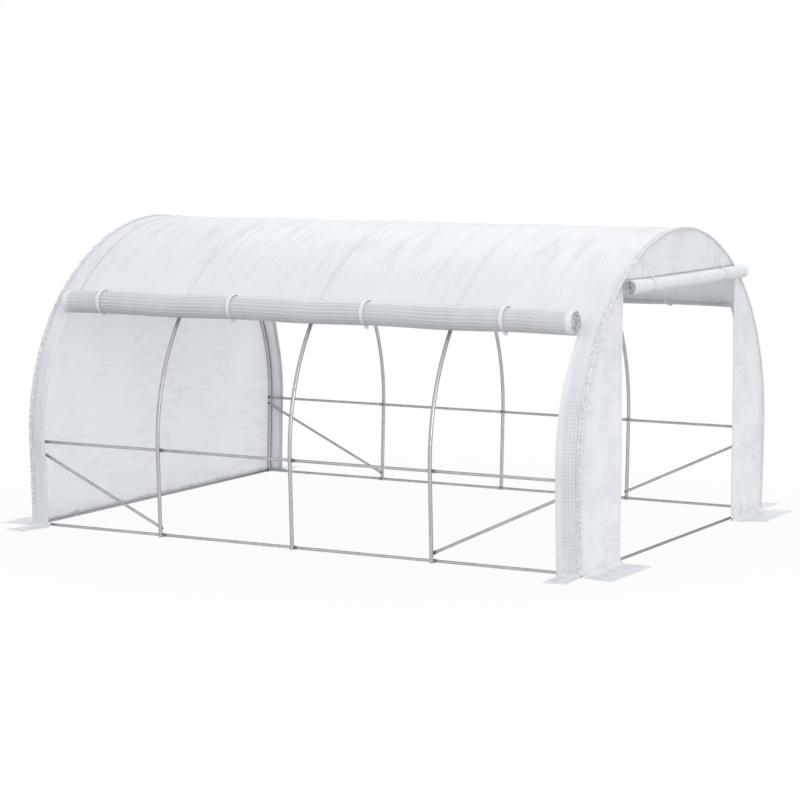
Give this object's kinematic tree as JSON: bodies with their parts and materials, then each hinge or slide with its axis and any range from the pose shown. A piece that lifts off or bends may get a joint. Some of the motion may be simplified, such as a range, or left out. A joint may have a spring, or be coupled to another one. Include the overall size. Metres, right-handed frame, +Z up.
{
  "type": "polytunnel greenhouse",
  "caption": "Walk-in polytunnel with bent steel hoops under a woven plastic cover, both long sides and the door rolled up, and skirts on the ground.",
  "frame": {"origin": "on the ground, midway between the two ends and the two long sides", "axes": "+X along the tunnel towards the door end, +Y across it towards the back long side, +Z up"},
  "size_m": [4.51, 3.56, 2.0209],
  "materials": {
    "galvanised_steel": "satin zinc coating",
    "cover_sheet": "soft sheen, woven, lets light through",
    "hem_tape": "matte white",
    "strap_webbing": "matte woven"
  },
  "bodies": {
    "root": {"back_base_rail": "galvanised_steel", "back_closed_end_brace": "galvanised_steel", "back_closed_end_hem": "hem_tape", "back_closed_end_skirt": "cover_sheet", "back_door_end_brace": "galvanised_steel", "back_door_end_hem": "hem_tape", "back_door_end_skirt": "cover_sheet", "back_mid_rail": "galvanised_steel", "back_roll_straps": "strap_webbing", "back_side_roll": "cover_sheet", "closed_end_band": "cover_sheet", "closed_end_base_rail": "galvanised_steel", "closed_end_hoop": "galvanised_steel", "closed_end_wall": "cover_sheet", "closed_wall_skirt": "cover_sheet", "door_end_band": "cover_sheet", "door_end_base_rail": "galvanised_steel", "door_end_hoop": "galvanised_steel", "door_roll": "cover_sheet", "door_roll_ties": "strap_webbing", "door_wall_back_panel": "cover_sheet", "door_wall_back_skirt": "cover_sheet", "door_wall_front_panel": "cover_sheet", "door_wall_front_skirt": "cover_sheet", "door_wall_top_panel": "cover_sheet", "door_zip_back": "hem_tape", "door_zip_front": "hem_tape", "fourth_hoop": "galvanised_steel", "front_base_rail": "galvanised_steel", "front_closed_end_brace": "galvanised_steel", "front_closed_end_hem": "hem_tape", "front_closed_end_skirt": "cover_sheet", "front_door_end_brace": "galvanised_steel", "front_door_end_hem": "hem_tape", "front_door_end_skirt": "cover_sheet", "front_mid_rail": "galvanised_steel", "front_roll_straps": "strap_webbing", "front_side_roll": "cover_sheet", "middle_hoop": "galvanised_steel", "ridge_rail": "galvanised_steel", "roof_panel": "cover_sheet", "second_hoop": "galvanised_steel"}
  },
  "joints": []
}
